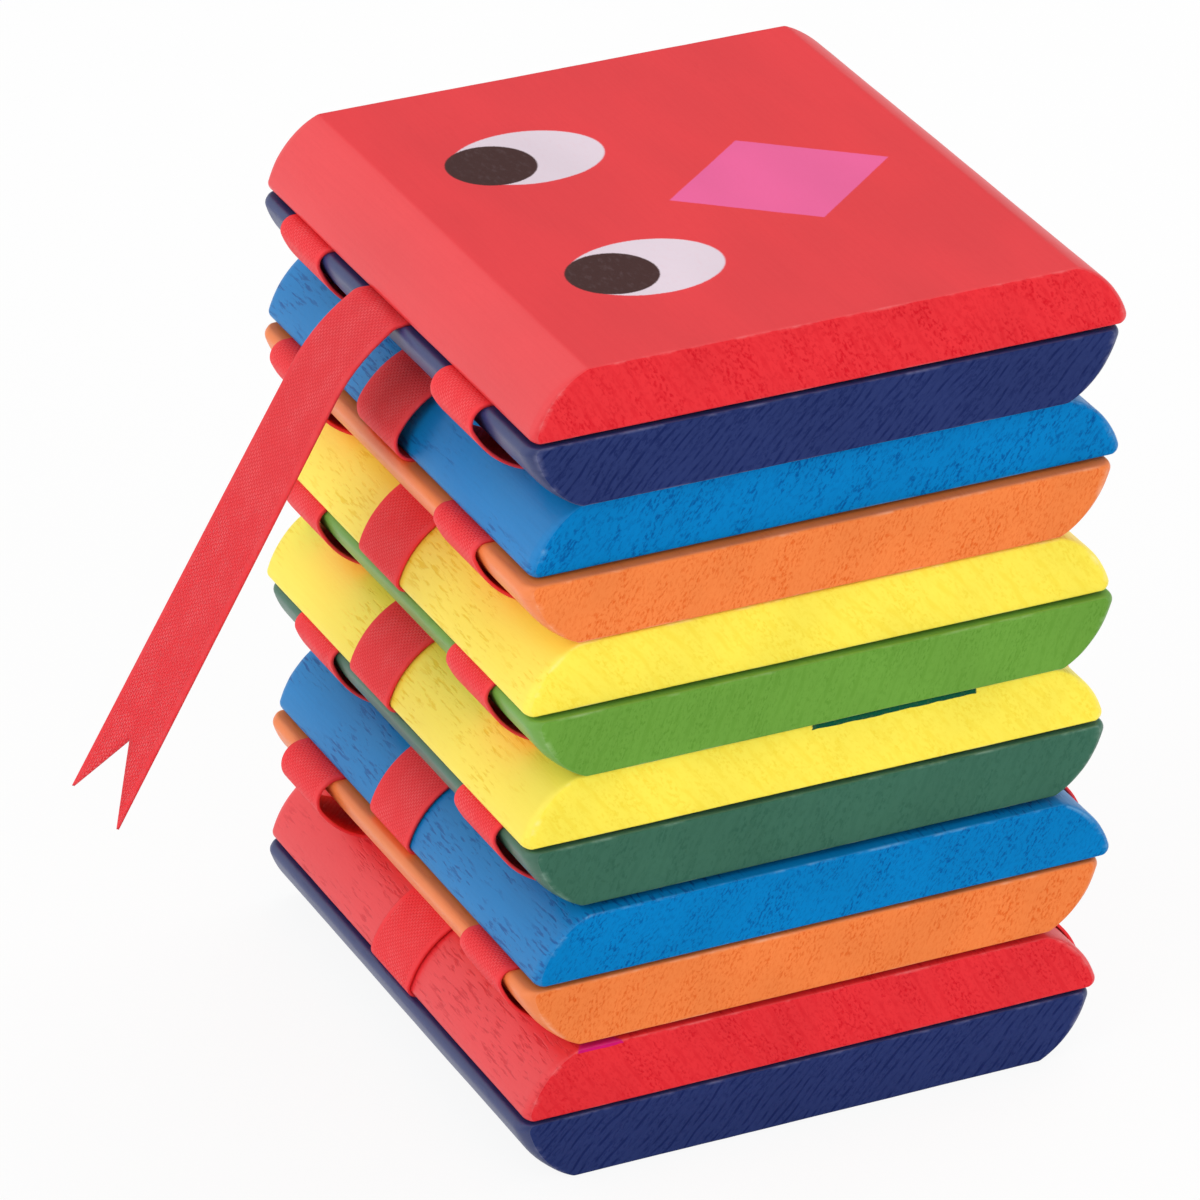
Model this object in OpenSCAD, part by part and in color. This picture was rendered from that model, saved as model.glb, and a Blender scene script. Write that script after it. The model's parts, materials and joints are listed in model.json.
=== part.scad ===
// Jacob's ladder toy in the shape of a snake: six tiles on three ribbons, stacked, head on top.
// X runs from one ribbon edge to the other, Y along the grain, Z up from the foot of the bottom tile.

/* [Boards] */
// Width of a board, from one ribbon edge to the other
board_w = 70; // [50:1:90]
// Depth of a board, from one sawn face to the other
board_d = 70; // [60:1:90]
// Thickness of one board; two boards make a tile
board_t = 7.7; // [7:0.1:9]
// Radius of the round along each ribbon edge, which runs the whole thickness down to the seam
edge_r = 9.5; // [9:0.1:12]
// Radius of the small round beside the seam
seam_r = 0.8; // [0.3:0.1:1.2]

/* [Ribbons] */
// Width of a ribbon
ribbon_w = 10; // [6:0.1:12]
// Thickness of a ribbon
ribbon_t = 0.4; // [0.2:0.05:0.5]
// Space between two ribbon ends, in the middle of a seam
ribbon_end_gap = 10; // [4:1:30]
// Distance that the middle ribbon under the tongue bows off tile 2
tongue_side_slack = 1.6; // [0.5:0.1:2.5]
// Air between a ribbon and the round that it lies on
ribbon_air = 0.1; // [0.05:0.01:0.3]

/* [Ribbon places] */
// Tiles 1 and 2: back ribbon from the back, middle one behind the middle, front one from the front
ribbons_1_2 = [13.4, 1.7, 15.4]; // [0:0.1:26]
// Tiles 2 and 3
ribbons_2_3 = [10.5, 3.2, 16.2]; // [0:0.1:26]
// Tiles 3 and 4
ribbons_3_4 = [10.5, 6.3, 14.9]; // [0:0.1:26]
// Tiles 4 and 5
ribbons_4_5 = [13.1, 3.0, 13.2]; // [0:0.1:26]
// Tiles 5 and 6
ribbons_5_6 = [13.0, 0.2, 10.6]; // [0:0.1:26]

/* [Ribbon loops] */
// Distances that the back, middle and front loop under tile 1 stand off its seam
loops_1_2 = [0.6, 0.9, 1.2]; // [0.5:0.1:2.5]
// Loops under tile 2
loops_2_3 = [0.9, 0.9, 0.6]; // [0.5:0.1:2.5]
// Loops under tile 3
loops_3_4 = [0.8, 0.9, 0.8]; // [0.5:0.1:2.5]
// Loops under tile 4
loops_4_5 = [0.6, 0.9, 0.8]; // [0.5:0.1:2.5]
// Loops under tile 5
loops_5_6 = [1.7, 0.9, 0.6]; // [0.5:0.1:2.5]

/* [Tongue] */
// Length of the tongue outside the seam
tongue_length = 65; // [30:1:80]
// Depth of the notch between its two tips
tongue_notch = 8.7; // [2:0.1:15]
// Distance of the tongue behind the middle of the board
tongue_y = 1.6; // [0:0.1:8]
// Slope at which the tongue leaves the seam
tongue_exit_slope = 36; // [5:1:50]
// Slope of its long hanging stretch
tongue_hang_slope = 60; // [52:1:80]
// Length of the straight neck between its two bends
tongue_neck = 7.4; // [0.5:0.1:12]
// Radius of the bend over the seam edge
tongue_exit_r = 1.6; // [1:0.1:5]
// Radius of the bend below the neck
tongue_hang_r = 6; // [2:0.5:20]

/* [Stacking] */
// Tile 1, the head: places of its upper board across and back, and of its lower board across and back
tile_1_slip = [1.1, -0.7, 0.4, -0.9]; // [-2:0.1:2]
// Tile 2
tile_2_slip = [1.6, 0.9, 0.4, -0.2]; // [-2:0.1:2]
// Tile 3
tile_3_slip = [1.0, 0.8, 1.4, 0.1]; // [-2:0.1:2]
// Tile 4
tile_4_slip = [1.1, 1.5, 1.5, 1.2]; // [-2:0.1:2]
// Tile 5
tile_5_slip = [1.9, 0.2, 0.7, 0.1]; // [-2:0.1:2]
// Tile 6, the foot, which stands with its lower board in the middle
tile_6_slip = [0.6, 0, 0, 0]; // [-2:0.1:2]

/* [Hidden] */
$fn = 64;
slips = [tile_1_slip, tile_2_slip, tile_3_slip, tile_4_slip, tile_5_slip, tile_6_slip];
tiles = len(slips);
ribbon_places = [ribbons_1_2, ribbons_2_3, ribbons_3_4, ribbons_4_5, ribbons_5_6];
loop_slacks = [loops_1_2, loops_2_3, loops_3_4, loops_4_5, loops_5_6];

// Boards from the head down, and the ribbons' red
upper_colors = ["crimson", "dodgerblue", "gold", "gold", "dodgerblue", "crimson"];
lower_colors = ["midnightblue", "darkorange", "yellowgreen", "seagreen", "darkorange", "midnightblue"];
ribbon_color = "firebrick";

// A ribbon fills its seam, and lies with a little air in the gap between two tiles
seam_gap = ribbon_t;
tile_gap = ribbon_t + 2 * ribbon_air;
pitch = 2 * board_t + seam_gap + tile_gap;
seam_to_gap = pitch / 2;
ribbon_grip = (board_w - ribbon_end_gap) / 2;

// The edge round meets the small round beside the seam where it still slopes by this angle
seam_slope = asin((edge_r + seam_r - board_t) / (edge_r - seam_r));
edge_reach = seam_r + (edge_r - seam_r) * cos(seam_slope);

// A tight wrap follows the board's round, and a loose loop stands further out at the seam
tight_stand = ribbon_air + ribbon_t / 2;
wrap_r = edge_r + tight_stand;

// Small overlap of each run or bend of a ribbon with the one before it
lap = 0.02;

// The tongue's two bends, and the stretch that is left after them
tongue_hang_turn = tongue_hang_slope - tongue_exit_slope;
tongue_bent = (tongue_exit_r * tongue_exit_slope + tongue_hang_r * tongue_hang_turn) * PI / 180;
tongue_drop = tongue_length - tongue_neck - tongue_bent;

left = -1;
right = 1;
places = ["back", "middle", "front"];

function upper_name(k) = str("tile_", k, "_upper_board");
function lower_name(k) = str("tile_", k, "_lower_board");
function ribbon_name(k, place) = str("ribbon_", k, "_", k + 1, "_", place);

function upper_x(k) = slips[k - 1][0];
function upper_y(k) = slips[k - 1][1];
function lower_x(k) = slips[k - 1][2];
function lower_y(k) = slips[k - 1][3];
function seam_z(k) = board_t + seam_gap / 2 + (tiles - k) * pitch;
function ribbon_y(k, place) =
    place == "back" ? board_d / 2 - ribbon_places[k - 1][0] :
    place == "middle" ? ribbon_places[k - 1][1] : ribbon_places[k - 1][2] - board_d / 2;
function loop_stand(k, place) = loop_slacks[k - 1][place == "back" ? 0 : place == "middle" ? 1 : 2];

// A wrap's small bend at the seam, how far it turns back past the vertical, and the reach of both bends
function tip_r(stand) = seam_r + stand;
function tip_turn(stand) = asin((tip_r(stand) + wrap_r - seam_to_gap) / (wrap_r - tip_r(stand)));
function wrap_reach(stand) = seam_r + (wrap_r - tip_r(stand)) * cos(tip_turn(stand));

// What lies outside a round of radius r, in a corner that starts at the slope down to the right
module corner_waste(r, slope) {
    side = 2 * r;
    difference() {
        polygon([[0, 0], [side, -side * tan(slope)], [side, side], [0, side]]);
        circle(r);
    }
}

// End-grain outline of a board that lies on its seam face
module board_outline() {
    difference() {
        translate([-board_w / 2, 0]) square([board_w, board_t]);
        for (flip = [0, 1]) mirror([flip, 0]) {
            translate([board_w / 2 - edge_reach, board_t - edge_r]) corner_waste(edge_r, 0);
            translate([board_w / 2 - seam_r, seam_r]) mirror([0, 1]) corner_waste(seam_r, seam_slope);
        }
    }
}

module board() {
    rotate([90, 0, 0]) linear_extrude(board_d, center = true) board_outline();
}

module upper_board(k) {
    color(upper_colors[k - 1])
        translate([upper_x(k), upper_y(k), seam_z(k) + seam_gap / 2]) board();
}

module lower_board(k) {
    color(lower_colors[k - 1])
        translate([lower_x(k), lower_y(k), seam_z(k) - seam_gap / 2]) mirror([0, 0, 1]) board();
}

// A straight run of ribbon along +X, then whatever follows it
module run(length) {
    translate([(length - lap) / 2, 0, 0]) cube([length + lap, ribbon_w, ribbon_t], center = true);
    translate([length, 0, 0]) children();
}

// A bend of the ribbon, downwards for a positive turn, then whatever follows it
module bend(r, turn) {
    angle = abs(turn);
    lap_angle = lap / r * 180 / PI;
    flip = [0, 0, turn < 0 ? 1 : 0];
    mirror(flip) {
        translate([0, 0, -r]) rotate([90, 0, 0]) rotate(90 - angle) rotate_extrude(angle = angle + lap_angle)
            translate([r, 0]) square([ribbon_t, ribbon_w], center = true);
        translate([r * sin(angle), 0, r * cos(angle) - r]) rotate([0, angle, 0]) mirror(flip) children();
    }
}

// What a wrap goes round, from the middle of the seam to the middle of the gap, grown by half a ribbon
module wrap_outline(stand, grow, length) {
    difference() {
        translate([-length, -seam_to_gap - grow]) square([length + stand + grow, seam_to_gap + 2 * grow]);
        translate([-seam_r, -tip_r(stand)]) corner_waste(tip_r(stand) + grow, tip_turn(stand));
        translate([-wrap_reach(stand), wrap_r - seam_to_gap]) mirror([0, 1]) corner_waste(wrap_r + grow, 0);
    }
}

// A ribbon from its end in a seam out round the edge of the board, and back into the gap below
module wrap(stand) {
    rotate([90, 0, 0]) linear_extrude(ribbon_w, center = true) difference() {
        wrap_outline(stand, ribbon_t / 2, ribbon_grip);
        wrap_outline(stand, -ribbon_t / 2, ribbon_grip + lap);
    }
}

// A ribbon leaves tile k at one side, crosses the gap below it and enters tile k + 1 at the other side
module ribbon(k, place) {
    side = place == "middle" ? right : left;
    leave_x = side * lower_x(k) + board_w / 2;
    arrive_x = side * upper_x(k + 1) - board_w / 2;
    arrive_stand = k == 1 && place == "middle" ? tongue_side_slack : tight_stand;
    flat_from = arrive_x + ribbon_grip;
    flat_length = leave_x - ribbon_grip - flat_from;
    color(ribbon_color) mirror([side == left ? 1 : 0, 0, 0]) translate([0, ribbon_y(k, place), seam_z(k)]) {
        translate([leave_x, 0, 0]) wrap(loop_stand(k, place));
        translate([flat_from, 0, -seam_to_gap]) run(flat_length + lap);
        translate([arrive_x, 0, -pitch]) rotate([0, 180, 0]) wrap(arrive_stand);
    }
}

// The last stretch of the tongue, with a notch that leaves two points
module forked_run(length) {
    linear_extrude(ribbon_t, center = true)
        polygon([[-lap, -ribbon_w / 2], [length, -ribbon_w / 2], [length - tongue_notch, 0],
            [length, ribbon_w / 2], [-lap, ribbon_w / 2]]);
}

module tongue() {
    color(ribbon_color) mirror([1, 0, 0])
        translate([board_w / 2 - lower_x(1) - ribbon_grip, tongue_y, seam_z(1)])
            run(ribbon_grip) bend(tongue_exit_r, tongue_exit_slope) run(tongue_neck)
                bend(tongue_hang_r, tongue_hang_turn) forked_run(tongue_drop);
}

for (k = [1:tiles]) {
    upper_board(k);
    lower_board(k);
}
for (k = [1:tiles - 1]) for (place = places) {
    ribbon(k, place);
}
tongue();
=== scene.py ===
import json
import math

import bmesh
import bpy
from mathutils import Matrix, Vector, noise

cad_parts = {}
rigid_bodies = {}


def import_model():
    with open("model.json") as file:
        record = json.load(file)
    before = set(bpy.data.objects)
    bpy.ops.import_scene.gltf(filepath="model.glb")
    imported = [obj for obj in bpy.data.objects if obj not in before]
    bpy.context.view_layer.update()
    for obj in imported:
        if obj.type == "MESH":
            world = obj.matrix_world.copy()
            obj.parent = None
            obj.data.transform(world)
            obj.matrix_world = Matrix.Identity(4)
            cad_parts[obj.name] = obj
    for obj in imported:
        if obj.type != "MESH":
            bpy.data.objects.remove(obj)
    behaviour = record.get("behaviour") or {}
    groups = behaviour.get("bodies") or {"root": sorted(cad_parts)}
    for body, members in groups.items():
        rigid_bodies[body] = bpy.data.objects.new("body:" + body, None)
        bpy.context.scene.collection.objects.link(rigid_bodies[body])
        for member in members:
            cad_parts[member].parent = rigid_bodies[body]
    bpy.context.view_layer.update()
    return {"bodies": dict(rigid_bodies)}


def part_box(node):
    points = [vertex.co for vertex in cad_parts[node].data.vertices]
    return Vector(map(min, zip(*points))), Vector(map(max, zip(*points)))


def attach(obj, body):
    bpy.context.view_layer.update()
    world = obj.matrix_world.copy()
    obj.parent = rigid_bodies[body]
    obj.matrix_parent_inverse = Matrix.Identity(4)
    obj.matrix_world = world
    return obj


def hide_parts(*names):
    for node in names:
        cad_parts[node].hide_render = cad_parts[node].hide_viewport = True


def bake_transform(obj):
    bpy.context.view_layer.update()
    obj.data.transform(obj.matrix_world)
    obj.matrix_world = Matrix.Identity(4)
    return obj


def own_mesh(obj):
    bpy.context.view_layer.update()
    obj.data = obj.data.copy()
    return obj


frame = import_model()

mm = 0.001
tileCount = len(frame["bodies"])
ribbonPlaces = ("back", "middle", "front")


# Small helpers for objects and node trees

def addObject(name, data):
    thing = bpy.data.objects.new(name, data)
    bpy.context.scene.collection.objects.link(thing)
    return thing


def finishedMesh(thing):
    # the object's mesh with its modifiers applied
    graph = bpy.context.evaluated_depsgraph_get()
    return bpy.data.meshes.new_from_object(thing.evaluated_get(graph))


def addNode(tree, kind, **settings):
    node = tree.nodes.new(kind)
    for key, value in settings.items():
        setattr(node, key, value)
    return node


def feed(tree, socket, value):
    # a socket is linked, anything else is set as the default
    if isinstance(value, bpy.types.NodeSocket):
        tree.links.new(value, socket)
    elif value is not None:
        socket.default_value = value


def calc(tree, operation, a, b=None, c=None, clamp=False):
    node = addNode(tree, "ShaderNodeMath", operation=operation, use_clamp=clamp)
    for socket, value in zip(node.inputs, (a, b, c)):
        feed(tree, socket, value)
    return node.outputs[0]


def vectorCalc(tree, operation, a, b=None, c=None, scale=None):
    node = addNode(tree, "ShaderNodeVectorMath", operation=operation)
    for socket, value in zip(node.inputs, (a, b, c, scale)):
        feed(tree, socket, value)
    return node.outputs[0]


def ramp(tree, value, low, high, toLow=0.0, toHigh=1.0):
    node = addNode(tree, "ShaderNodeMapRange", interpolation_type="SMOOTHSTEP")
    for socket, setting in zip(node.inputs, (value, low, high, toLow, toHigh)):
        feed(tree, socket, setting)
    return node.outputs[0]


def tint(tree, share, a, b, blendType="MIX"):
    node = addNode(tree, "ShaderNodeMix", data_type="RGBA", blend_type=blendType)
    feed(tree, node.inputs["Factor"], share)
    feed(tree, node.inputs[6], a)
    feed(tree, node.inputs[7], b)
    return node.outputs[2]


def stretch(tree, vector, scale, turn=(0, 0, 0), shift=(0, 0, 0)):
    node = addNode(tree, "ShaderNodeMapping")
    feed(tree, node.inputs["Vector"], vector)
    node.inputs["Location"].default_value = shift
    node.inputs["Rotation"].default_value = [math.radians(angle) for angle in turn]
    node.inputs["Scale"].default_value = scale
    return node.outputs[0]


def cloud(tree, vector, size, detail=2.0, rough=0.5):
    # noise whose features are about size long, on a vector in millimetres
    node = addNode(tree, "ShaderNodeTexNoise", noise_dimensions="3D")
    feed(tree, node.inputs["Vector"], stretch(tree, vector, [1 / s for s in size]))
    node.inputs["Scale"].default_value = 1.0
    node.inputs["Detail"].default_value = detail
    node.inputs["Roughness"].default_value = rough
    return node.outputs[0]


def axes(tree, vector):
    node = addNode(tree, "ShaderNodeSeparateXYZ")
    feed(tree, node.inputs[0], vector)
    return node.outputs


def ownValue(tree, name):
    return addNode(tree, "ShaderNodeAttribute", attribute_name=name).outputs["Fac"]


def paintColor(red, green, blue):
    # colours are written as they look on a screen, 0 to 255
    def linear(value):
        value /= 255
        return value / 12.92 if value <= 0.04045 else ((value + 0.055) / 1.055) ** 2.4
    return (linear(red), linear(green), linear(blue), 1.0)


def millimetres(tree):
    place = addNode(tree, "ShaderNodeTexCoord").outputs["Object"]
    return stretch(tree, place, (1 / mm,) * 3)


def newMaterial(name):
    material = bpy.data.materials.new(name)
    material.use_nodes = True
    tree = material.node_tree
    shader = tree.nodes["Principled BSDF"]
    return material, tree, shader


def addBump(tree, shader, height, strength, depth):
    bump = addNode(tree, "ShaderNodeBump")
    bump.inputs["Strength"].default_value = strength
    bump.inputs["Distance"].default_value = depth
    feed(tree, bump.inputs["Height"], height)
    feed(tree, shader.inputs["Normal"], bump.outputs[0])


# Painted wood: paint soaks into the end grain and bridges most of the long grain

# Each paint as it lies and as it is in the pores, and the colour of its painted highlight on the softened
# edges; the growth rings' turn in degrees and gap in millimetres; and how strongly rings, pores and dents
# show
paints = {
    "red": {
        "body": (230, 50, 57), "deep": (208, 14, 32), "highlightColor": (244, 150, 150), "gloss": 0.70,
        "ringTurn": 32, "ringGap": 1.5, "rings": 0.34, "pores": 0.85, "dents": 1.0},
    "navy": {
        "body": (41, 54, 106), "deep": (14, 28, 82), "highlightColor": (140, 142, 176), "gloss": 0.70,
        "ringTurn": -43, "ringGap": 0.95, "rings": 0.75, "pores": 0.55, "dents": 0.30},
    "blue": {
        "body": (0, 125, 194), "deep": (0, 82, 152), "highlightColor": (150, 200, 232), "gloss": 0.42,
        "ringTurn": -36, "ringGap": 1.3, "rings": 0.10, "pores": 0.95, "dents": 0.90},
    "orange": {
        "body": (241, 132, 69), "deep": (226, 94, 28), "highlightColor": (252, 206, 176), "gloss": 0.60,
        "ringTurn": -25, "ringGap": 1.1, "rings": 0.10, "pores": 0.85, "dents": 0.30},
    "yellow": {
        "body": (254, 234, 84), "deep": (242, 208, 30), "highlightColor": (255, 248, 196), "gloss": 0.50,
        "ringTurn": 38, "ringGap": 1.9, "rings": 0.30, "pores": 0.45, "dents": 0.90},
    "green": {
        "body": (108, 159, 63), "deep": (84, 138, 40), "highlightColor": (190, 214, 160), "gloss": 0.50,
        "ringTurn": -20, "ringGap": 1.6, "rings": 0.32, "pores": 0.60, "dents": 0.30},
    "dark_green": {
        "body": (61, 106, 87), "deep": (38, 84, 66), "highlightColor": (158, 186, 170), "gloss": 0.60,
        "ringTurn": -24, "ringGap": 1.6, "rings": 0.20, "pores": 0.50, "dents": 0.30},
}
# Marks in the wood and paint: noise of a size in millimetres, across the board, along the grain and up, or
# for rings and pores across the rings, along the grain and along the rings; it fades in between two of its
# levels, from one strength to another
marks = {
    "ringBreaks": {"size": (0.6, 3, 1.8), "detail": 3.0, "fade": (0.38, 0.62), "strength": (0.15, 1.0)},
    "pores": {"size": (0.30, 2.5, 0.65), "detail": 3.0, "rough": 0.6, "fade": (0.46, 0.66)},
    "porePatches": {"size": (2.5, 30, 9), "detail": 3.0, "fade": (0.36, 0.62), "strength": (0.30, 1.0)},
    "dents": {"size": (0.38, 2.6, 0.38), "detail": 3.0, "rough": 0.6, "fade": (0.51, 0.66)},
    "dentGroups": {"size": (7, 14, 6), "fade": (0.38, 0.60)},
    "fibres": {"size": (0.3, 9, 0.3), "detail": 3.0, "fade": (0.35, 0.75), "strength": (0.0, 0.10)},
    # dashes of the painted highlight along the softened edges
    "highlightDashes": {"size": (5, 5, 2.5), "detail": 4.0, "rough": 0.65, "fade": (0.46, 0.66)},
    "printSpecks": {"size": (0.4, 0.9, 0.4), "detail": 3.0, "fade": (0.25, 0.5), "strength": (0.965, 1.0)},
    "tone": {"size": (12, 30, 12), "fade": (0.3, 0.7), "strength": (0.96, 1.04)},
}
woodSet = {
    "driftSize": (13, 60, 13),  # slow bend of the growth rings, in millimetres
    "drift": 3.5,
    "ringFade": (0.1, 0.95),
    "highlightStrength": 0.38,          # painted highlight: how pale the softened edges get
    "longRough": 0.40,          # the long faces shine a little
    "sawnRough": 0.60,          # the sawn faces soak the paint up and stay dull
    "sawnGloss": 0.05,
    "poreRough": 0.12,          # pores and dents are duller by this much
    "skinSize": (0.5, 0.9, 0.5),
    "skinDetail": 3.0,
    "skin": 0.6,                # unevenness of the paint, beside a pore of depth 1
    "bump": 0.4,
    "bumpDepth": 0.09 * mm,
    "headDents": 0.12,          # share of the dents on the smooth top of the head
}

# Prints in millimetres from the middle of a board, painted in this order
eyeWhite = {"shape": "ellipse", "half": (8.7, 6.6), "ink": (226, 209, 220)}
pupil = {"shape": "ellipse", "half": (5.05, 5.05), "ink": (62, 24, 21)}
pinkRhomb = {"shape": "rhomb", "half": (13.2, 10.8), "ink": (236, 92, 152)}
greenRhomb = {"shape": "rhomb", "half": (10.5, 11.0), "ink": (10, 84, 62)}
pinkPoint = {"shape": "rhomb", "half": (2.7, 4.0), "ink": (206, 20, 110)}
printSet = {
    1: [(eyeWhite, (-12.5, 14.8)), (eyeWhite, (-12.7, -15.5)),
        (pupil, (-17.0, 14.5)), (pupil, (-16.7, -15.5)), (pinkRhomb, (9.9, -1.55))],
    4: [(greenRhomb, (9.0, -35.6))],
    6: [(pinkPoint, (-26.1, -35.0))],
}
printEdge = {
    "reach": {1: 0.6, 4: 0.75, 6: 0.4},   # how far down the edge a tile's prints may run
    "ragged": 0.5,              # how unevenly they end there
    "raggedSize": (2.5, 9, 9),
    "soft": 0.12,               # half width of the soft outline
    "shake": 0.22,              # how far the grain pulls the outline about
    "shakeScale": (2.2, 0.8, 1),
}


def mark(tree, place, name):
    look = marks[name]
    level = cloud(tree, place, look["size"], look.get("detail", 2.0), look.get("rough", 0.5))
    return ramp(tree, level, *look["fade"], *look.get("strength", (0.0, 1.0)))


def endGrain(tree, place, paint):
    # growth rings and pores on the sawn faces, in a frame turned to the rings
    turned = stretch(tree, place, (1, 1, 1), turn=(0, paint["ringTurn"], 0))
    drift = calc(tree, "MULTIPLY", cloud(tree, place, woodSet["driftSize"]), woodSet["drift"])
    step = calc(tree, "ADD", axes(tree, turned)[0], drift)
    wave = calc(tree, "SINE", calc(tree, "MULTIPLY", step, 2 * math.pi / paint["ringGap"]))
    rings = calc(tree, "MULTIPLY", ramp(tree, wave, *woodSet["ringFade"]), mark(tree, turned, "ringBreaks"))
    pores = calc(tree, "MULTIPLY", mark(tree, turned, "pores"), mark(tree, turned, "porePatches"))
    return calc(tree, "MAXIMUM", calc(tree, "MULTIPLY", rings, paint["rings"]),
                calc(tree, "MULTIPLY", pores, paint["pores"]))


def longGrain(tree, place, dentStrength):
    # short dents along the grain on the long faces, in loose groups, and faint fibres
    dents = calc(tree, "MULTIPLY", mark(tree, place, "dents"), mark(tree, place, "dentGroups"))
    return calc(tree, "MAXIMUM", calc(tree, "MULTIPLY", dents, dentStrength), mark(tree, place, "fibres"))


def printMask(tree, place, shape, half, middle):
    x, y = axes(tree, place)[:2]
    across = calc(tree, "DIVIDE", calc(tree, "SUBTRACT", x, middle[0]), half[0])
    along = calc(tree, "DIVIDE", calc(tree, "SUBTRACT", y, middle[1]), half[1])
    if shape == "ellipse":
        squares = calc(tree, "MULTIPLY_ADD", across, across, calc(tree, "MULTIPLY", along, along))
        reach = calc(tree, "SQRT", squares)
    else:
        reach = calc(tree, "ADD", calc(tree, "ABSOLUTE", across), calc(tree, "ABSOLUTE", along))
    soft = printEdge["soft"] / min(half)
    return ramp(tree, reach, 1 + soft, 1 - soft)


def addPrints(tree, color, place, prints, middle, floorZ):
    # nothing is printed below floorZ, give or take the ragged end
    raggedness = printEdge["ragged"]
    ragged = calc(tree, "MULTIPLY", cloud(tree, place, printEdge["raggedSize"]), raggedness)
    onTop = calc(tree, "GREATER_THAN", calc(tree, "ADD", axes(tree, place)[2], raggedness / 2),
                 calc(tree, "ADD", ragged, floorZ / mm))
    shake = printEdge["shake"]
    grainShake = addNode(tree, "ShaderNodeTexNoise")
    feed(tree, grainShake.inputs["Vector"], stretch(tree, place, printEdge["shakeScale"]))
    centred = stretch(tree, place, (1, 1, 1), shift=(-shake / 2, -shake / 2, 0))
    shaken = vectorCalc(tree, "MULTIPLY_ADD", grainShake.outputs["Color"], (shake, shake, 0), centred)
    specks = mark(tree, place, "printSpecks")
    for spot, offset in prints:
        spotMiddle = [middle[i] / mm + offset[i] for i in (0, 1)]
        mask = printMask(tree, shaken, spot["shape"], spot["half"], spotMiddle)
        mask = calc(tree, "MULTIPLY", calc(tree, "MULTIPLY", mask, onTop), specks)
        color = tint(tree, mask, color, paintColor(*spot["ink"]))
    return color


def paintedWood(name, paint, gloss, rough, dentShare, prints, middle, floorZ):
    material, tree, shader = newMaterial(name)
    place = millimetres(tree)
    sawn = ownValue(tree, "sawnFace")
    highlightEdge = ownValue(tree, "softEdge")
    endShade = endGrain(tree, place, paint)
    longShade = longGrain(tree, place, paint["dents"] * dentShare)
    shade = calc(tree, "MULTIPLY_ADD", sawn, calc(tree, "SUBTRACT", endShade, longShade), longShade)
    color = tint(tree, shade, paintColor(*paint["body"]), paintColor(*paint["deep"]))
    # a painted highlight lies pale on the softened edges, in dashes
    dashes = calc(tree, "MULTIPLY", highlightEdge, mark(tree, place, "highlightDashes"))
    highlightShare = calc(tree, "MULTIPLY", dashes, woodSet["highlightStrength"])
    color = tint(tree, highlightShare, color, paintColor(*paint["highlightColor"]))
    if prints:
        color = addPrints(tree, color, place, prints, middle, floorZ)
    color = tint(tree, 1.0, color, mark(tree, place, "tone"), "MULTIPLY")
    feed(tree, shader.inputs["Base Color"], color)
    shader.inputs["Specular IOR Level"].default_value = gloss
    # pores and dents are sunk and dull, and the whole skin is faintly uneven
    feed(tree, shader.inputs["Roughness"], calc(tree, "MULTIPLY_ADD", shade, woodSet["poreRough"], rough))
    skin = cloud(tree, place, woodSet["skinSize"], woodSet["skinDetail"])
    height = calc(tree, "MULTIPLY_ADD", shade, -1.0, calc(tree, "MULTIPLY", skin, woodSet["skin"]))
    addBump(tree, shader, height, woodSet["bump"], woodSet["bumpDepth"])
    return material


# Boards

boardSet = {
    "edgeRound": 10.5 * mm,     # long round along both ribbon edges
    "creaseRound": 1.5 * mm,    # tighter round where it leaves the outer face
    "creaseSlope": 68.0,        # slope at which the two rounds meet
    "seamRound": 0.8 * mm,      # small round beside the seam
    "edgeSteps": 14,            # steps on each of the three rounds
    "creaseSteps": 6,
    "seamSteps": 8,
    "faceBreak": 0.32 * mm,     # softened edge of the sawn faces
    "breakHighlight": (0.0, 0.4, 1.0, 0.4, 0.0),             # share of the painted highlight on the rings round that edge
    "faceInset": 0.10,          # how far the flat of a sawn face is drawn in to its spine
    "faceSpine": 0.4,           # half of the spine's length, as a share of the width
    "corner": {"upper": 1.2 * mm, "lower": 1.9 * mm},   # round of the corners, seen from above
    "cornerPull": 0.8,          # share of a full quarter round
    "cornerRings": (0.3, 0.45, 0.65, 0.85, 1.0),        # rings from the softened edge to the corner's end
    "cornerClear": 0.4 * mm,    # from a corner to the next ring
    "flatStep": 2.0 * mm,
    "closeStep": 0.3 * mm,      # points this close to each round keep the flats flat in the light
    "grainStep": 1.4 * mm,
    "wobble": 0.05 * mm,
    "slowWave": (9 * mm, 26 * mm),      # across and along the grain
    "quickWave": (2.2 * mm, 7 * mm),
    "quickShare": 0.5,
}
upperPaints = ("red", "blue", "yellow", "yellow", "blue", "red")
lowerPaints = ("navy", "orange", "green", "dark_green", "orange", "navy")


def arcPoints(cx, cz, radius, fromAngle, toAngle, count):
    points = []
    for i in range(count + 1):
        angle = math.radians(fromAngle + (toAngle - fromAngle) * i / count)
        points.append((cx + radius * math.cos(angle), cz + radius * math.sin(angle)))
    return points


def edgeBends(tip, drop, extra=0.0):
    # turn of the small round past the upright, and how far the three rounds reach in from the edge
    big, crease = boardSet["edgeRound"] + extra, boardSet["creaseRound"] + extra
    steep = math.radians(boardSet["creaseSlope"])
    past = math.asin((tip + big * math.sin(steep) + crease * (1 - math.sin(steep)) - drop) / (big - tip))
    reach = boardSet["seamRound"] + (big - tip) * math.cos(past) - (big - crease) * math.cos(steep)
    return big, crease, math.degrees(past), reach


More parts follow.
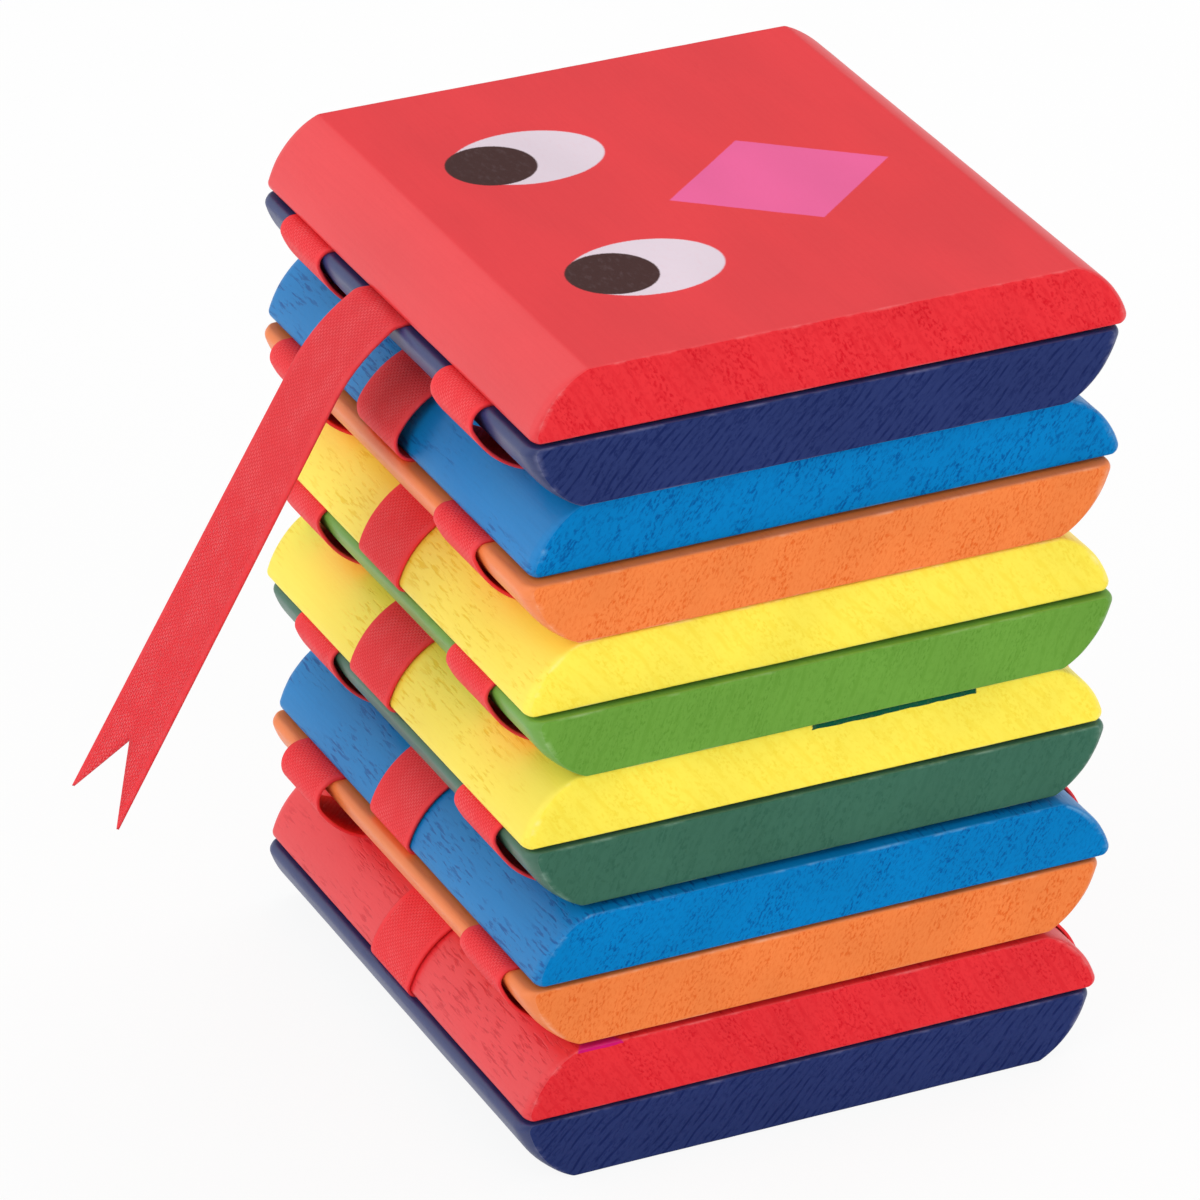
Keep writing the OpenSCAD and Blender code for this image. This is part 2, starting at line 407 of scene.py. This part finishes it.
def boardOutline(width, thick):
    # seam face down on z = 0, counter-clockwise seen from the front
    small = boardSet["seamRound"]
    big, crease, past, reach = edgeBends(small, thick)
    steep = boardSet["creaseSlope"]
    half = width / 2
    bigX = half - small - (big - small) * math.cos(math.radians(past))
    bigZ = small - (big - small) * math.sin(math.radians(past))
    right = (arcPoints(half - small, small, small, -90, past, boardSet["seamSteps"])[:-1]
             + arcPoints(bigX, bigZ, big, past, steep, boardSet["edgeSteps"])[:-1]
             + arcPoints(half - reach, thick - crease, crease, steep, 90, boardSet["creaseSteps"]))
    ends = [right, [(-x, z) for x, z in reversed(right)]]
    outline = []
    for end, following in zip(ends, ends[1:] + ends[:1]):
        outline += end
        (x0, z0), (x1, z1) = end[-1], following[0]
        flat = math.hypot(x1 - x0, z1 - z0)
        steps = int(flat / boardSet["flatStep"])
        close = boardSet["closeStep"] / flat
        shares = [close] + [i / steps for i in range(1, steps)] + [1 - close]
        outline += [(x0 + (x1 - x0) * s, z0 + (z1 - z0) * s) for s in shares]
    return outline


def outlineNormals(outline):
    normals = []
    for i in range(len(outline)):
        (x0, z0), (x1, z1) = outline[i - 1], outline[(i + 1) % len(outline)]
        length = math.hypot(x1 - x0, z1 - z0)
        normals.append(((z1 - z0) / length, (x0 - x1) / length))
    return normals


def grainWobble(point):
    # slow and quick waves, longer along the grain than across it
    def wave(across, along):
        return noise.noise(Vector((point.x / across, point.y / along, point.z / across)))

    slow, quick = wave(*boardSet["slowWave"]), wave(*boardSet["quickWave"])
    return boardSet["wobble"] * (slow + boardSet["quickShare"] * quick)


def makeBoard(k, level):
    node = f"tile_{k}_{level}_board"
    paintName = (upperPaints if level == "upper" else lowerPaints)[k - 1]
    low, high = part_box(node)
    width, depth, thick = high - low
    middle = (low + high) / 2
    outline = boardOutline(width, thick)
    normals = outlineNormals(outline)
    flip = -1 if level == "lower" else 1
    baseZ = high.z if level == "lower" else low.z
    corner = boardSet["corner"][level]
    spineEnd = boardSet["faceSpine"] * width
    reach = edgeBends(boardSet["seamRound"], thick)[3]
    squeeze = [max(0.0, (abs(x) - width / 2) / reach + 1) for x, z in outline]

    mesh = bmesh.new()
    sawnFace = mesh.verts.layers.float.new("sawnFace")
    softEdge = mesh.verts.layers.float.new("softEdge")

    def ring(y, deep, lift=0.0, sawn=0.0, soft=0.0, inward=0.0):
        # deep is the distance from the sawn face, lift the step in from the outline
        pull = 0.0
        if deep < corner:
            pull = boardSet["cornerPull"] * (corner - math.sqrt(corner ** 2 - (corner - deep) ** 2))
        verts = []
        for i, (x, z) in enumerate(outline):
            x -= normals[i][0] * lift
            z -= normals[i][1] * lift
            x -= math.copysign(pull * squeeze[i], x)
            spine = max(-spineEnd, min(spineEnd, x))
            x += (spine - x) * inward
            z += (thick / 2 - z) * inward
            vert = mesh.verts.new((middle.x + x, y, baseZ + flip * z))
            vert[sawnFace] = sawn
            vert[softEdge] = soft
            verts.append(vert)
        return verts

    def sawnEnd(face):
        # rings from the middle of a sawn face out over its softened edge and corners
        y0 = middle.y + face * depth / 2
        step = boardSet["faceBreak"]
        ringHighlights = boardSet["breakHighlight"]
        rings = [ring(y0, 0.0, step, 1.0, 0.0, boardSet["faceInset"])]
        # each ring of the softened edge takes its share of the painted highlight
        for j, soft in enumerate(ringHighlights):
            share = j / (len(ringHighlights) - 1)
            angle = math.radians(90 * share)
            deep = step * (1 - math.cos(angle))
            rings.append(ring(y0 - face * deep, deep, step * (1 - math.sin(angle)), 1 - share, soft))
        for share in boardSet["cornerRings"]:
            deep = step + (corner - step) * share
            rings.append(ring(y0 - face * deep, deep))
        return rings

    rings = sawnEnd(-1)
    keep = corner + boardSet["cornerClear"]
    steps = int((depth - 2 * keep) / boardSet["grainStep"])
    for j in range(steps + 1):
        y = middle.y - depth / 2 + keep + (depth - 2 * keep) * j / steps
        rings.append(ring(y, corner))
    rings += reversed(sawnEnd(1))
    count = len(outline)
    for first, second in zip(rings, rings[1:]):
        for i in range(count):
            n = (i + 1) % count
            mesh.faces.new((first[i], first[n], second[n], second[i]))
    mesh.faces.new(rings[0])
    mesh.faces.new(list(reversed(rings[-1])))
    bmesh.ops.recalc_face_normals(mesh, faces=mesh.faces)
    mesh.normal_update()
    shifts = [(vert, vert.normal * grainWobble(vert.co) * (1 - vert[sawnFace])) for vert in mesh.verts]
    for vert, shift in shifts:
        vert.co += shift
    for face in mesh.faces:
        face.smooth = True
        # the sawn faces take the second material
        face.material_index = int(all(vert[sawnFace] >= 0.5 for vert in face.verts))
    data = bpy.data.meshes.new(f"tile_{k}_{level}")
    mesh.to_mesh(data)
    mesh.free()

    paint = paints[paintName]
    prints = printSet.get(k, ()) if level == "upper" else ()
    dentShare = woodSet["headDents"] if (k, level) == (1, "upper") else 1.0
    floorZ = high.z - printEdge["reach"][k] * mm if prints else 0.0
    finishes = {"Paint": (paint["gloss"], woodSet["longRough"]),
                "Sawn": (woodSet["sawnGloss"], woodSet["sawnRough"])}
    for finish, (gloss, rough) in finishes.items():
        name = paintName + finish + (f"Tile{k}" if prints else "")
        data.materials.append(bpy.data.materials.get(name)
                              or paintedWood(name, paint, gloss, rough, dentShare, prints, middle, floorZ))
    board = addObject(f"tile_{k}_{level}", data)
    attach(board, f"tile_{k}")
    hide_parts(node)


for k in range(1, tileCount + 1):
    for level in ("upper", "lower"):
        makeBoard(k, level)
print("boards:", 2 * tileCount)


# Ribbons

ribbonSet = {
    "width": 10.0 * mm,
    "thickness": 0.36 * mm,
    "tightStand": 0.3 * mm,     # the middle of a ribbon that lies on the wood
    "bowedStand": 1.6 * mm,     # the middle ribbon beside the tongue
    # how far the back, middle and front loop under each tile stand off its seam, in millimetres
    "loops": {1: (0.6, 0.9, 1.2), 2: (0.9, 0.9, 0.6), 3: (0.8, 0.9, 0.8),
              4: (0.6, 0.9, 0.8), 5: (1.7, 0.9, 0.6)},
    "grip": 30.0 * mm,          # length that is glued in a seam
    "step": 0.25 * mm,
    "columns": 7,               # points across each half
    "sewGap": 0.002 * mm,       # the two halves are sewn where they are this close
    "turnStep": 4.0,            # degrees between points on a bend
    "hingeZone": 4.2 * mm,      # height beside the gap at each ribbon end, worked out in makeRibbon but not used
}
tongueSet = {
    "length": 63.7 * mm,        # hangs free of the seam
    "notch": 8.7 * mm,
    "exitRadius": 1.6 * mm,     # bend where it leaves the seam, and the slope it ends at
    "exitSlope": 36.0,
    "neck": 1.6 * mm,           # straight run between the two bends
    "hangRadius": 20.0 * mm,
    "hangSlope": 60.0,
    "twist": 7.5,
    "twistLead": 1.5 * mm,      # the twist starts this far inside the seam
}
# One red ribbon as two copies of one weave, whose sizes are in millimetres; the spans' copy is painted
# brighter against its shade
cloths = {
    "redRibbonShadeLifted": {"ink": (247, 50, 58), "deep": (226, 22, 36), "lightThrough": 0.05},   # lies on wood in shade; ink and deep painted brighter
    "redTongue": {"ink": (228, 48, 57), "deep": (210, 26, 38), "lightThrough": 0.50},   # hangs free in the light
}
weave = {
    # colour of the painted sheen on the threads
    "highlightColor": (248, 140, 142),
    "ribGap": 0.36,
    "ridge": (0.40, 0.10),      # where a rib starts and where it is full, from its middle
    "stitch": 0.55,
    "thread": (0.46, 0.28),     # the same for a stitch
    "border": 0.7,
    "borderSoft": 0.15,
    "borderLevel": 0.4,         # height of the plain border beside a full thread
    "grooveShade": 0.35,             # painted shade: how far the colour deepens between threads
    "unevenSize": (3, 3, 3),
    "unevenDetail": 3.0,
    "uneven": (0.40, 0.70),
    "shine": (0.14, 0.34),      # least and most painted sheen on a thread
    "rough": 0.55,
    "gloss": 0.25,
    "lightColor": (1.0, 0.10, 0.12),    # of the light that comes through
    "lightDepth": 1.5 * mm,
    "bump": 0.8,
    "bumpDepth": 0.07 * mm,
}


def wovenRibbon(name):
    tree, shader = newMaterial(name)[1:]
    cloth = cloths[name]
    along = ownValue(tree, "along")
    across = ownValue(tree, "across")

    def fromMiddle(value):
        # distance from the middle of each repeat, 0 to 0.5
        return calc(tree, "ABSOLUTE", calc(tree, "SUBTRACT", calc(tree, "FRACT", value), 0.5))

    # fine ribs run along the ribbon, and every other rib is half a stitch further on
    rib = calc(tree, "DIVIDE", across, weave["ribGap"])
    stagger = calc(tree, "MULTIPLY", calc(tree, "FLOOR", rib), 0.5)
    stitch = calc(tree, "ADD", calc(tree, "DIVIDE", along, weave["stitch"]), stagger)
    ridge = ramp(tree, fromMiddle(rib), *weave["ridge"])
    thread = calc(tree, "MULTIPLY", ridge, ramp(tree, fromMiddle(stitch), *weave["thread"]))
    # the plain border along both edges
    edge = calc(tree, "SUBTRACT", ribbonSet["width"] / mm / 2, calc(tree, "ABSOLUTE", across))
    soft = weave["borderSoft"]
    border = ramp(tree, edge, weave["border"] + soft, weave["border"] - soft)
    thread = calc(tree, "MULTIPLY_ADD", border, calc(tree, "SUBTRACT", weave["borderLevel"], thread), thread)
    # painted shade between the threads, and a patchy painted sheen on their tops
    grooveShade = calc(tree, "MULTIPLY", calc(tree, "SUBTRACT", 1.0, thread), weave["grooveShade"])
    color = tint(tree, grooveShade, paintColor(*cloth["ink"]), paintColor(*cloth["deep"]))
    uneven = cloud(tree, millimetres(tree), weave["unevenSize"], weave["unevenDetail"])
    threadSheen = calc(tree, "MULTIPLY", thread, ramp(tree, uneven, *weave["uneven"], *weave["shine"]))
    color = tint(tree, threadSheen, color, paintColor(*weave["highlightColor"]))
    feed(tree, shader.inputs["Base Color"], color)
    shader.inputs["Roughness"].default_value = weave["rough"]
    shader.inputs["Specular IOR Level"].default_value = weave["gloss"]
    # some light comes through the cloth
    shader.inputs["Subsurface Weight"].default_value = cloth["lightThrough"]
    shader.inputs["Subsurface Radius"].default_value = weave["lightColor"]
    shader.inputs["Subsurface Scale"].default_value = weave["lightDepth"]
    addBump(tree, shader, thread, weave["bump"], weave["bumpDepth"])


def ribbonTree():
    tree = bpy.data.node_groups.new("sweptRibbon", "GeometryNodeTree")
    face = tree.interface
    face.new_socket("Path", in_out="INPUT", socket_type="NodeSocketGeometry")
    for label in ("Width", "Step", "Notch", "Twist", "Twist Start"):
        face.new_socket(label, in_out="INPUT", socket_type="NodeSocketFloat")
    face.new_socket("Columns", in_out="INPUT", socket_type="NodeSocketInt")
    face.new_socket("Cloth", in_out="INPUT", socket_type="NodeSocketMaterial")
    face.new_socket("Ribbon", in_out="OUTPUT", socket_type="NodeSocketGeometry")
    inputs = addNode(tree, "NodeGroupInput").outputs
    half = calc(tree, "MULTIPLY", inputs["Width"], 0.5)

    # the path keeps its place, the length run so far and the direction across it
    evenPath = addNode(tree, "GeometryNodeResampleCurve", mode="LENGTH")
    feed(tree, evenPath.inputs["Curve"], inputs["Path"])
    feed(tree, evenPath.inputs["Length"], inputs["Step"])
    keepPath = addNode(tree, "GeometryNodeCaptureAttribute", domain="POINT")
    keepPath.capture_items.new("FLOAT", "Run")
    keepPath.capture_items.new("VECTOR", "Place")
    keepPath.capture_items.new("VECTOR", "Across")
    feed(tree, keepPath.inputs["Geometry"], evenPath.outputs["Curve"])
    run = addNode(tree, "GeometryNodeSplineParameter").outputs["Length"]
    feed(tree, keepPath.inputs["Run"], run)
    feed(tree, keepPath.inputs["Place"], addNode(tree, "GeometryNodeInputPosition").outputs[0])
    total = addNode(tree, "GeometryNodeCurveLength")
    feed(tree, total.inputs["Curve"], inputs["Path"])

    # a twisted ribbon turns fastest where it leaves the seam
    free = calc(tree, "SUBTRACT", total.outputs[0], inputs["Twist Start"])
    turned = calc(tree, "DIVIDE", calc(tree, "SUBTRACT", run, inputs["Twist Start"]), free, clamp=True)
    angle = calc(tree, "MULTIPLY", inputs["Twist"], calc(tree, "SQRT", turned))
    tangent = addNode(tree, "GeometryNodeInputTangent").outputs[0]
    rise = vectorCalc(tree, "CROSS_PRODUCT", (0, 1, 0), tangent)
    tilt = vectorCalc(tree, "SCALE", rise, scale=calc(tree, "SINE", angle))
    level = addNode(tree, "ShaderNodeCombineXYZ")
    feed(tree, level.inputs["Y"], calc(tree, "COSINE", angle))
    feed(tree, keepPath.inputs["Across"], vectorCalc(tree, "ADD", tilt, level.outputs[0]))

    # past the bottom of the notch each half draws back from the middle; a ribbon may have none
    past = calc(tree, "SUBTRACT", keepPath.outputs["Run"],
                calc(tree, "SUBTRACT", total.outputs[0], inputs["Notch"]))
    share = calc(tree, "DIVIDE", past, calc(tree, "MAXIMUM", inputs["Notch"], 1e-6), clamp=True)

    halves = addNode(tree, "GeometryNodeJoinGeometry")
    for side in (-1.0, 1.0):
        line = addNode(tree, "GeometryNodeCurvePrimitiveLine")
        line.inputs["End"].default_value = (side, 0, 0)
        points = addNode(tree, "GeometryNodeResampleCurve", mode="COUNT")
        feed(tree, points.inputs["Curve"], line.outputs[0])
        feed(tree, points.inputs["Count"], inputs["Columns"])
        keepLine = addNode(tree, "GeometryNodeCaptureAttribute", domain="POINT")
        keepLine.capture_items.new("FLOAT", "Out")
        feed(tree, keepLine.inputs["Geometry"], points.outputs["Curve"])
        factor = addNode(tree, "GeometryNodeSplineParameter").outputs["Factor"]
        feed(tree, keepLine.inputs["Out"], calc(tree, "SINE", calc(tree, "MULTIPLY", factor, math.pi / 2)))
        strip = addNode(tree, "GeometryNodeCurveToMesh")
        feed(tree, strip.inputs["Curve"], keepPath.outputs["Geometry"])
        feed(tree, strip.inputs["Profile Curve"], keepLine.outputs["Geometry"])
        out = keepLine.outputs["Out"]
        outward = calc(tree, "MULTIPLY_ADD", share, calc(tree, "SUBTRACT", 1.0, out), out)
        across = calc(tree, "MULTIPLY", calc(tree, "MULTIPLY", outward, half), side)
        shift = vectorCalc(tree, "SCALE", keepPath.outputs["Across"], scale=across)
        laid = addNode(tree, "GeometryNodeSetPosition")
        feed(tree, laid.inputs["Geometry"], strip.outputs[0])
        feed(tree, laid.inputs["Position"], keepPath.outputs["Place"])
        feed(tree, laid.inputs["Offset"], shift)
        marked = laid.outputs[0]
        if side < 0:
            flipped = addNode(tree, "GeometryNodeFlipFaces")
            feed(tree, flipped.inputs["Mesh"], marked)
            marked = flipped.outputs[0]
        for label, value in (("along", keepPath.outputs["Run"]), ("across", across)):
            store = addNode(tree, "GeometryNodeStoreNamedAttribute", data_type="FLOAT", domain="POINT")
            store.inputs["Name"].default_value = label
            feed(tree, store.inputs["Geometry"], marked)
            feed(tree, store.inputs["Value"], calc(tree, "MULTIPLY", value, 1 / mm))
            marked = store.outputs[0]
        tree.links.new(marked, halves.inputs[0])

    sewn = addNode(tree, "GeometryNodeMergeByDistance")
    sewn.inputs["Distance"].default_value = ribbonSet["sewGap"]
    feed(tree, sewn.inputs["Geometry"], halves.outputs[0])
    smooth = addNode(tree, "GeometryNodeSetShadeSmooth")
    feed(tree, smooth.inputs["Geometry"], sewn.outputs[0])
    real = addNode(tree, "GeometryNodeRealizeInstances")
    feed(tree, real.inputs[0], smooth.outputs[0])
    dyed = addNode(tree, "GeometryNodeSetMaterial")
    feed(tree, dyed.inputs["Geometry"], real.outputs[0])
    feed(tree, dyed.inputs["Material"], inputs["Cloth"])
    output = addNode(tree, "NodeGroupOutput")
    feed(tree, output.inputs[0], dyed.outputs[0])
    return tree


def tracePath(start, heading, y, moves):
    # moves are runs (length) and bends (radius, turn); a positive turn goes down
    points = [Vector((start[0], y, start[1]))]
    angle = 0.0 if heading > 0 else 180.0
    at = Vector(start)
    length = 0.0

    def forward(distance):
        at.x += distance * math.cos(math.radians(angle))
        at.y += distance * math.sin(math.radians(angle))
        points.append(Vector((at.x, y, at.y)))

    for move in moves:
        if len(move) == 1:
            forward(move[0])
            length += move[0]
            continue
        radius, turn = move
        steps = max(2, round(abs(turn) / ribbonSet["turnStep"]))
        part = -heading * turn / steps
        for i in range(steps):
            angle += part / 2
            forward(2 * radius * math.sin(math.radians(abs(part) / 2)))
            angle += part / 2
        length += radius * math.radians(abs(turn))
    return points, length


def sweepRibbon(name, points, cloth, notch=0.0, twist=0.0):
    curve = bpy.data.curves.new(name + "Path", "CURVE")
    curve.dimensions = "3D"
    spline = curve.splines.new("POLY")
    spline.points.add(len(points) - 1)
    for point, place in zip(spline.points, points):
        point.co = (*place, 1.0)
    path = addObject(name + "Path", curve)
    nodes = path.modifiers.new("Ribbon", "NODES")
    nodes.node_group = ribbonNodes
    settings = {"Width": ribbonSet["width"], "Step": ribbonSet["step"], "Notch": notch,
                "Twist": math.radians(twist), "Twist Start": ribbonSet["grip"] - tongueSet["twistLead"],
                "Columns": ribbonSet["columns"], "Cloth": bpy.data.materials[cloth]}
    for item in ribbonNodes.interface.items_tree:
        if item.in_out == "INPUT" and item.name in settings:
            nodes[item.identifier] = settings[item.name]
    flat = finishedMesh(path)
    bpy.data.objects.remove(path)
    bpy.data.curves.remove(curve)

    ribbon = addObject(name, flat)
    thick = ribbon.modifiers.new("Thickness", "SOLIDIFY")
    thick.thickness = ribbonSet["thickness"]
    thick.offset = 0.0
    thick.use_even_offset = True
    solid = finishedMesh(ribbon)
    ribbon.modifiers.clear()
    ribbon.data = solid
    bpy.data.meshes.remove(flat)
    solid.name = name
    return ribbon


def seamHeight(k):
    return (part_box(f"tile_{k}_upper_board")[0].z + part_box(f"tile_{k}_lower_board")[1].z) / 2


def gapHeight(k):
    return (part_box(f"tile_{k}_lower_board")[0].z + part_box(f"tile_{k + 1}_upper_board")[1].z) / 2


def edgeX(node, side):
    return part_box(node)[1 if side > 0 else 0].x


def wrapBends(stand, drop):
    # the small bend at the seam turns past the upright, and two more run flat into the gap
    small = boardSet["seamRound"] + stand
    big, crease, past, reach = edgeBends(small, drop, ribbonSet["tightStand"])
    steep = boardSet["creaseSlope"]
    return [(small, 90 + past), (big, steep - past), (crease, 90 - steep)], reach


def makeRibbon(k, place):
    node = f"ribbon_{k}_{k + 1}_{place}"
    low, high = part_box(node)
    y = (low.y + high.y) / 2
    side = 1 if place == "middle" else -1
    leaveX = edgeX(f"tile_{k}_lower_board", side)
    arriveX = edgeX(f"tile_{k + 1}_upper_board", -side)
    seam, gap, nextSeam = seamHeight(k), gapHeight(k), seamHeight(k + 1)
    grip = ribbonSet["grip"]
    held = (grip - boardSet["seamRound"],)
    bowed = k == 1 and place == "middle"
    loop = ribbonSet["loops"][k][ribbonPlaces.index(place)] * mm
    outBends, outReach = wrapBends(loop, seam - gap)
    inBends, inReach = wrapBends(ribbonSet["bowedStand" if bowed else "tightStand"], gap - nextSeam)
    flat = side * leaveX - outReach - (side * arriveX + inReach)
    inBends = [(radius, -turn) for radius, turn in reversed(inBends)]
    moves = [held] + outBends + [(flat,)] + inBends + [held]
    points, length = tracePath((leaveX - side * grip, seam), side, y, moves)
    ribbon = sweepRibbon(f"ribbon_{k}_{k + 1}_{place}_woven", points, "redRibbonShadeLifted")

    # a hinge is at the right edge after an odd tile and at the left after an even one; the ends worked out
    # here are not used
    hingeRight = k % 2 == 1
    zone = ribbonSet["hingeZone"]
    turnsBelow = hingeRight == (place != "middle")
    # the run in the gap is set a whole ribbon thickness toward its own tile
    rest = gap + ribbonSet["thickness"] * (-1 if turnsBelow else 1)
    start, end = (rest, rest - zone) if turnsBelow else (rest + zone, rest)
    ends = [(f"tile_{k}", (0, y, start)), (f"tile_{k + 1}", (0, y, end))]
    if not hingeRight:
        # for a hinge at the left the ends are listed the other way round
        ends.reverse()
    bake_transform(ribbon)
    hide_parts(node)
    return length


def makeTongue():
    low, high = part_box("tongue")
    y = (low.y + high.y) / 2
    seam = seamHeight(1)
    edge = edgeX("tile_1_lower_board", -1)
    grip = ribbonSet["grip"]
    exitTurn = tongueSet["exitSlope"]
    hangTurn = tongueSet["hangSlope"] - exitTurn
    bends = [(tongueSet["exitRadius"], exitTurn), (tongueSet["hangRadius"], hangTurn)]
    bent = sum(radius * math.radians(turn) for radius, turn in bends)
    drop = tongueSet["length"] - tongueSet["neck"] - bent
    moves = [(grip,), bends[0], (tongueSet["neck"],), bends[1], (drop,)]
    points, length = tracePath((edge + grip, seam), -1, y, moves)
    tongue = sweepRibbon("forked_tongue", points, "redTongue", tongueSet["notch"], tongueSet["twist"])
    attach(tongue, "tile_1")
    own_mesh(tongue)
    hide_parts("tongue")
    return length


for cloth in cloths:
    wovenRibbon(cloth)
ribbonNodes = ribbonTree()
spanLengths = [makeRibbon(k, place) for k in range(1, tileCount) for place in ribbonPlaces]
tongueLength = makeTongue()
print("ribbons:", len(spanLengths), "spans of", [round(length / mm, 1) for length in spanLengths[:3]],
      "mm, tongue", round(tongueLength / mm, 1), "mm")


# Camera, floor and light

cameraSet = {
    "azimuth": -25.381,         # degrees round from the front
    "elevation": 27.808,
    "roll": 0.220,
    "distance": 0.9022,
    "aim": (-0.00919, 0.0, 0.04973),
    "lens": 246.0,
    "sensor": 36.0,
    "clip": (0.01, 50.0),
}


def placeCamera():
    azimuth, elevation, roll = (math.radians(cameraSet[key]) for key in ("azimuth", "elevation", "roll"))
    back = Vector((math.sin(azimuth) * math.cos(elevation),
                   -math.cos(azimuth) * math.cos(elevation), math.sin(elevation)))
    right = Vector((math.cos(azimuth), math.sin(azimuth), 0))
    up = back.cross(right)
    rolledRight = right * math.cos(roll) + up * math.sin(roll)
    rolledUp = up * math.cos(roll) - right * math.sin(roll)
    data = bpy.data.cameras.new("photoCamera")
    data.sensor_width = cameraSet["sensor"]
    data.lens = cameraSet["lens"]
    data.clip_start, data.clip_end = cameraSet["clip"]
    camera = addObject("photoCamera", data)
    turn = Matrix((rolledRight, rolledUp, back)).transposed().to_4x4()
    camera.matrix_world = Matrix.Translation(Vector(cameraSet["aim"]) + back * cameraSet["distance"]) @ turn
    bpy.context.scene.camera = camera


studioSet = {
    "floorSize": 6.0,
    "floorGrey": 0.85,
    "floorRough": 0.9,
    "floorWhite": 0.9,          # share of plain white that the camera sees of the floor
    "floorFade": (0.0, -0.15),  # y where the mirrored floor starts to darken, and where it is darkest
    "floorDark": 0.75,
    "skyStrength": 0.70,
    # the mirrored tent fades between two directions, from one brightness to another
    "tentAcross": (0.28, -0.12, 0.20, 1.0),
    "tentDeep": (0.1, -0.4, 1.0, 0.25),
    "lampTarget": (0, 0, 0.05),
    "lamps": [
        # name, place, size, power
        ("leftSoftbox", (-1.25, -0.15, 0.5), 1.5, 8.2),
        ("rightSoftbox", (0.9, 0.5, 1.3), 1.2, 8.5),
        ("frontSoftbox", (0.3, -1.4, 0.6), 1.0, 5.5),
    ],
}


def rayShares(tree):
    # rays that look at the studio plainly, and rays mirrored by the paint
    rays = addNode(tree, "ShaderNodeLightPath").outputs
    return calc(tree, "MAXIMUM", rays["Is Camera Ray"], rays["Is Transmission Ray"]), rays["Is Glossy Ray"]


def makeFloor():
    material, tree, shader = newMaterial("paleFloor")
    half = studioSet["floorSize"] / 2
    mesh = bmesh.new()
    bmesh.ops.create_grid(mesh, x_segments=1, y_segments=1, size=half)
    data = bpy.data.meshes.new("floor")
    mesh.to_mesh(data)
    mesh.free()
    floor = addObject("floor", data)
    data.materials.append(material)
    grey = studioSet["floorGrey"]
    shader.inputs["Base Color"].default_value = (grey, grey, grey, 1)
    shader.inputs["Roughness"].default_value = studioSet["floorRough"]
    # the paint mirrors a floor that is darker in front of the toy
    plain, mirrored = rayShares(tree)
    y = axes(tree, addNode(tree, "ShaderNodeNewGeometry").outputs["Position"])[1]
    fade = ramp(tree, y, *studioSet["floorFade"], 0.0, studioSet["floorDark"])
    dark = calc(tree, "MULTIPLY", mirrored, fade)
    glow = addNode(tree, "ShaderNodeEmission")
    feed(tree, glow.inputs["Strength"], calc(tree, "SUBTRACT", 1.0, dark))
    share = calc(tree, "MULTIPLY", calc(tree, "MAXIMUM", plain, mirrored), studioSet["floorWhite"])
    mix = addNode(tree, "ShaderNodeMixShader")
    feed(tree, mix.inputs[0], share)
    feed(tree, mix.inputs[1], shader.outputs[0])
    feed(tree, mix.inputs[2], glow.outputs[0])
    feed(tree, tree.nodes["Material Output"].inputs["Surface"], mix.outputs[0])


def makeSky():
    world = bpy.data.worlds.new("studioSky")
    bpy.context.scene.world = world
    world.use_nodes = True
    tree = world.node_tree
    tree.nodes.clear()
    plain, mirrored = rayShares(tree)
    # the paint mirrors a tent that is white at the left and grey at the right and in front
    x, y = axes(tree, addNode(tree, "ShaderNodeTexCoord").outputs["Generated"])[:2]
    tent = calc(tree, "MULTIPLY", ramp(tree, x, *studioSet["tentAcross"]),
                ramp(tree, y, *studioSet["tentDeep"]))
    plainSky = studioSet["skyStrength"]
    sky = calc(tree, "MULTIPLY_ADD", mirrored, calc(tree, "SUBTRACT", tent, plainSky), plainSky)
    level = calc(tree, "MULTIPLY_ADD", plain, calc(tree, "SUBTRACT", 1.0, sky), sky)
    light = addNode(tree, "ShaderNodeBackground")
    light.inputs["Color"].default_value = (1, 1, 1, 1)
    feed(tree, light.inputs["Strength"], level)
    output = addNode(tree, "ShaderNodeOutputWorld")
    feed(tree, output.inputs["Surface"], light.outputs[0])


def makeLamps():
    target = Vector(studioSet["lampTarget"])
    for name, place, size, power in studioSet["lamps"]:
        data = bpy.data.lights.new(name, "AREA")
        data.size = size
        data.energy = power
        lamp = addObject(name, data)
        lamp.location = place
        lamp.rotation_euler = (target - Vector(place)).to_track_quat("-Z", "Y").to_euler()
        lamp.visible_glossy = False


placeCamera()
makeFloor()
makeSky()
makeLamps()
bpy.context.scene.view_settings.view_transform = "Standard"
print("studio ready")
